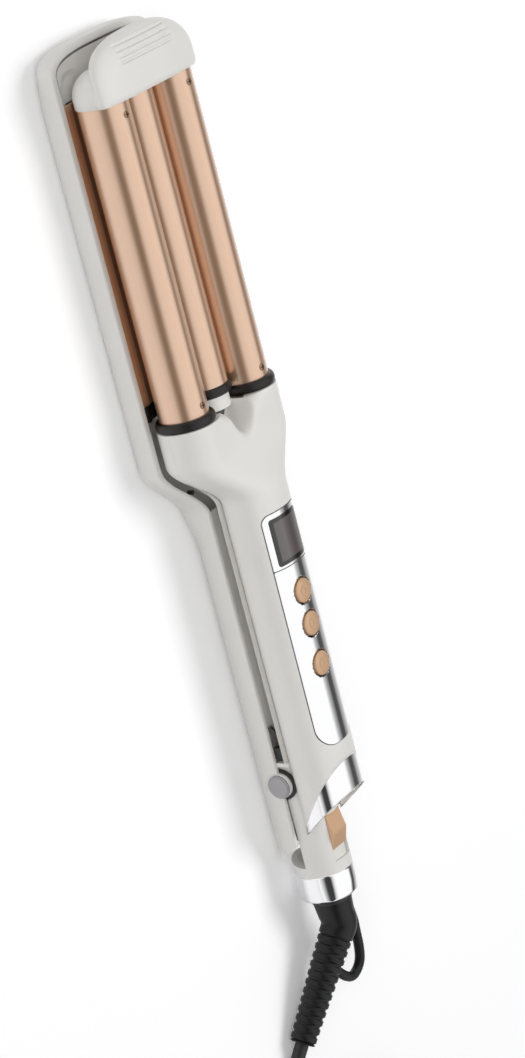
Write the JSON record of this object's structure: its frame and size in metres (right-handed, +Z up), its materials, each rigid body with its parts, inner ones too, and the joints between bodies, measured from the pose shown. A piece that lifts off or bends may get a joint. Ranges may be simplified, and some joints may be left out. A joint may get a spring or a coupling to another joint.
{
  "type": "hair waver",
  "caption": "Hand-held hair waver with parallel heated barrels on two hinged arms, a keypad with display, a sliding lock and a swivel cord.",
  "frame": {"origin": "on the surface that the closed tool lies on, under the middle of its bounding box without the cord", "axes": "+X towards the barrels' tip, +Y to the left side of the tool seen from the cord end with the keys up, +Z up"},
  "size_m": [0.601, 0.1024, 0.0419],
  "materials": {
    "white_shell": "satin moulded",
    "barrel_coating": "rose-gold satin heat-resistant coating",
    "heat_black": "satin",
    "ceramic": "sintered",
    "aluminium_block": "extruded",
    "dark_screw": "blackened",
    "chrome_trim": "mirror plated",
    "display_dark": "smooth tinted window",
    "module_dark": "moulded",
    "board_green": "solder mask",
    "rose_gold": "metallic rose-gold lacquer",
    "steel": "zinc plated",
    "hinge_grey": "satin grey",
    "rubber_black": "soft",
    "boot_black": "fine matt moulded",
    "cord_black": "smooth jacket",
    "plug_brass": "nickel plated"
  },
  "bodies": {
    "lower_arm": {"lower_shell": "white_shell", "lower_inner_cover": "white_shell", "wave_plate": "barrel_coating", "plate_block_front": "heat_black", "plate_block_rear": "heat_black", "barrel_middle": "barrel_coating", "ring_middle": "heat_black", "neck_middle": "white_shell", "plug_middle": "heat_black", "heater_middle": "ceramic", "spreader_middle": "aluminium_block", "hinge_pin": "steel", "hinge_caps": "hinge_grey", "torsion_spring": "steel", "stop_pad": "rubber_black", "shell_screws": "dark_screw", "lock_catch": "steel"},
    "handle": {"upper_housing": "white_shell", "upper_inner_cover": "white_shell", "barrel_left": "barrel_coating", "barrel_right": "barrel_coating", "ring_left": "heat_black", "ring_right": "heat_black", "tip_cap": "white_shell", "tip_plug_left": "heat_black", "tip_plug_right": "heat_black", "heater_left": "ceramic", "heater_right": "ceramic", "spreader_left": "aluminium_block", "spreader_right": "aluminium_block", "barrel_screws": "dark_screw", "control_panel": "chrome_trim", "display_window": "display_dark", "display_module": "module_dark", "tact_switches": "module_dark", "circuit_board": "board_green", "housing_screws": "dark_screw", "rear_collar": "white_shell", "chevron_trim": "chrome_trim", "end_ring": "chrome_trim", "swivel_socket": "module_dark"},
    "key_plus": {"key_plus": "rose_gold"},
    "key_minus": {"key_minus": "rose_gold"},
    "key_power": {"key_power": "rose_gold"},
    "lock": {"lock_slider": "rose_gold", "lock_bolt": "steel"},
    "cord_swivel": {"swivel_boot": "boot_black", "cord_lead": "cord_black", "cord_coil": "cord_black", "cord_tail": "cord_black", "cord_tie": "boot_black", "plug_body": "boot_black", "plug_pins": "plug_brass"}
  },
  "joints": [
    {"name": "arm_hinge", "type": "hinge", "parent": "lower_arm", "child": "handle", "pos_m": [-0.1255, 0, 0.0165], "axis": [0, -1, 0], "range_deg": [0, 12]},
    {"name": "key_plus_press", "type": "slide", "parent": "handle", "child": "key_plus", "axis": [0, 0, -1], "range_m": [0, 0.0008], "stiffness_N_per_m": 400, "springref_m": -0.0006},
    {"name": "key_minus_press", "type": "slide", "parent": "handle", "child": "key_minus", "axis": [0, 0, -1], "range_m": [0, 0.0008], "stiffness_N_per_m": 400, "springref_m": -0.0006},
    {"name": "key_power_press", "type": "slide", "parent": "handle", "child": "key_power", "axis": [0, 0, -1], "range_m": [0, 0.0008], "stiffness_N_per_m": 400, "springref_m": -0.0006},
    {"name": "lock_slide", "type": "slide", "parent": "handle", "child": "lock", "axis": [-1, 0, 0], "range_m": [0, 0.0045]},
    {"name": "cord_turn", "type": "hinge", "parent": "handle", "child": "cord_swivel", "pos_m": [-0.184, 0, 0.016], "axis": [1, 0, 0], "continuous": true}
  ]
}
